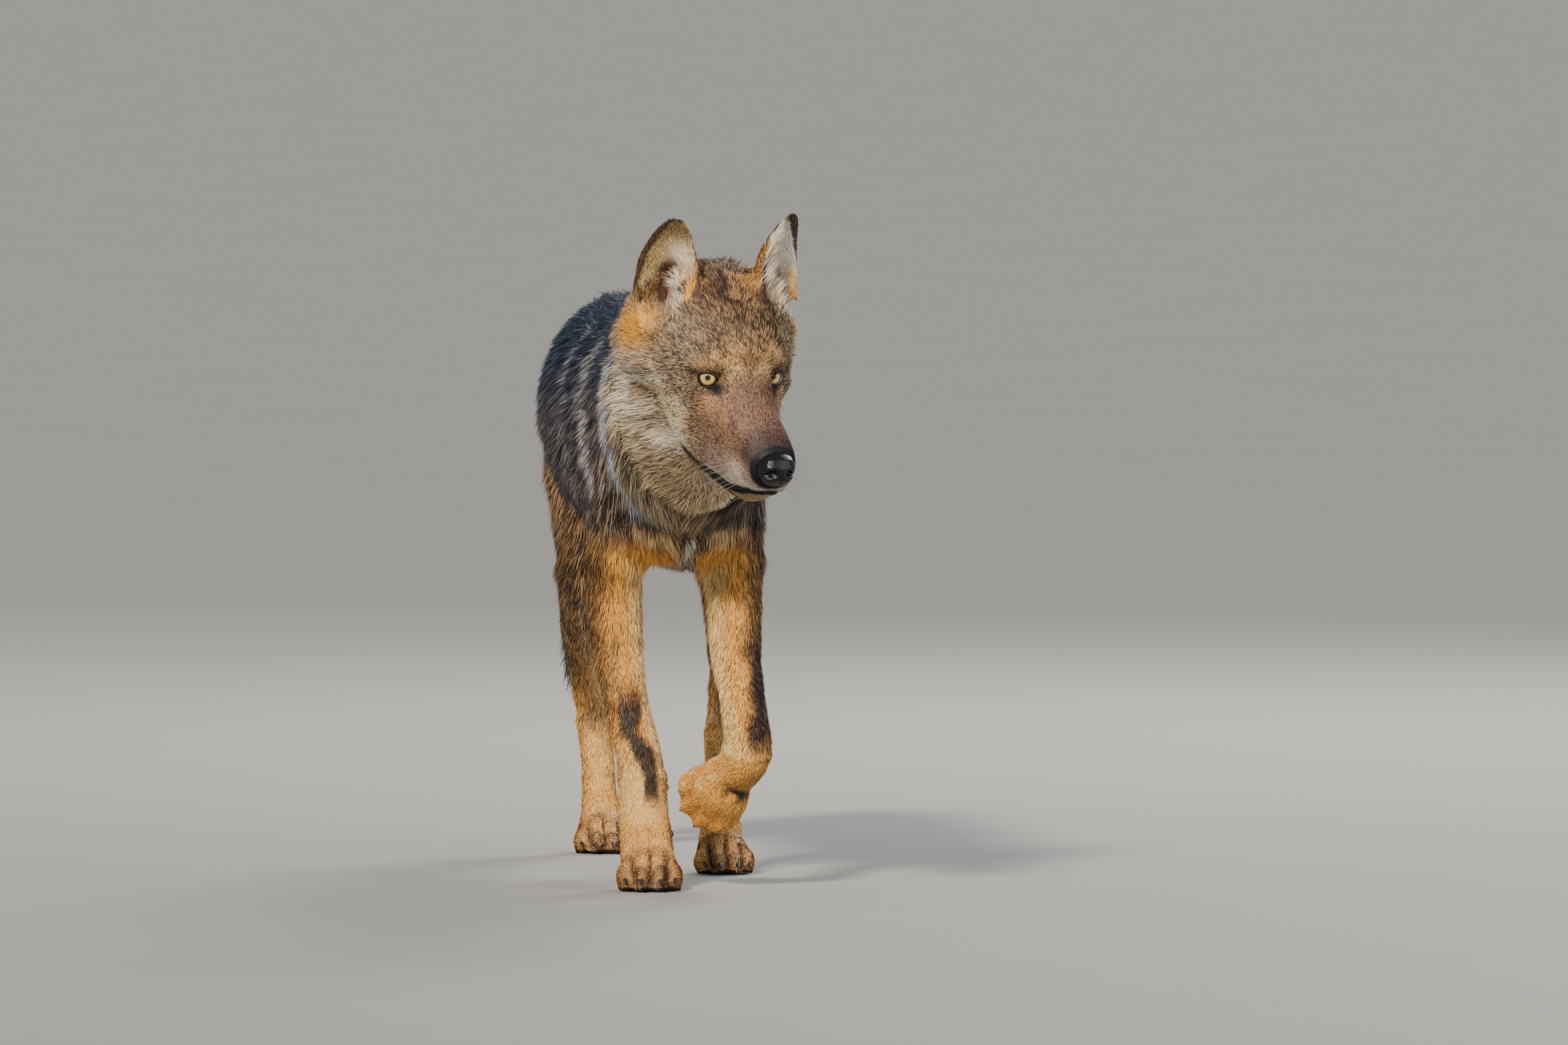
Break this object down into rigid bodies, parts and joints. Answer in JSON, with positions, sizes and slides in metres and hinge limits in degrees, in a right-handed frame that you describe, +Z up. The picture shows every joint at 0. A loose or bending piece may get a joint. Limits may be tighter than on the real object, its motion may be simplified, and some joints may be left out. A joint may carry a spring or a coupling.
{
  "type": "grey wolf figure",
  "caption": "Life-size walking young grey wolf with one forefoot lifted, head turned and ears up, standing on its other feet.",
  "frame": {"origin": "middle of the bounding box in plan, at the height of the floor that the feet stand on", "axes": "+Z up, the wolf faces -Y, +X on its left side"},
  "size_m": [0.246, 1.3124, 0.7443],
  "materials": {
    "coat_grey": "dense matt fur, grizzled grey-brown",
    "coat_tan": "short matt fur, tan",
    "coat_dark": "long matt fur, near black",
    "eye": "wet glossy, amber",
    "nose_leather": "moist black",
    "claw_horn": "dull dark horn"
  },
  "bodies": {
    "root": {"claw_forefoot_left_1": "claw_horn", "claw_forefoot_left_2": "claw_horn", "claw_forefoot_left_3": "claw_horn", "claw_forefoot_left_4": "claw_horn", "claw_forefoot_right_1": "claw_horn", "claw_forefoot_right_2": "claw_horn", "claw_forefoot_right_3": "claw_horn", "claw_forefoot_right_4": "claw_horn", "claw_hindfoot_left_1": "claw_horn", "claw_hindfoot_left_2": "claw_horn", "claw_hindfoot_left_3": "claw_horn", "claw_hindfoot_left_4": "claw_horn", "claw_hindfoot_right_1": "claw_horn", "claw_hindfoot_right_2": "claw_horn", "claw_hindfoot_right_3": "claw_horn", "claw_hindfoot_right_4": "claw_horn", "dewclaw_forefoot_left": "claw_horn", "dewclaw_forefoot_right": "claw_horn", "ear_left": "coat_tan", "ear_right": "coat_tan", "eye_left": "eye", "eye_right": "eye", "forefoot_left": "coat_tan", "forefoot_right": "coat_tan", "foreleg_left": "coat_tan", "foreleg_right": "coat_tan", "head": "coat_grey", "hindfoot_left": "coat_tan", "hindfoot_right": "coat_tan", "hindleg_left": "coat_tan", "hindleg_right": "coat_tan", "neck": "coat_grey", "nose": "nose_leather", "tail": "coat_dark", "trunk": "coat_grey"}
  },
  "joints": []
}
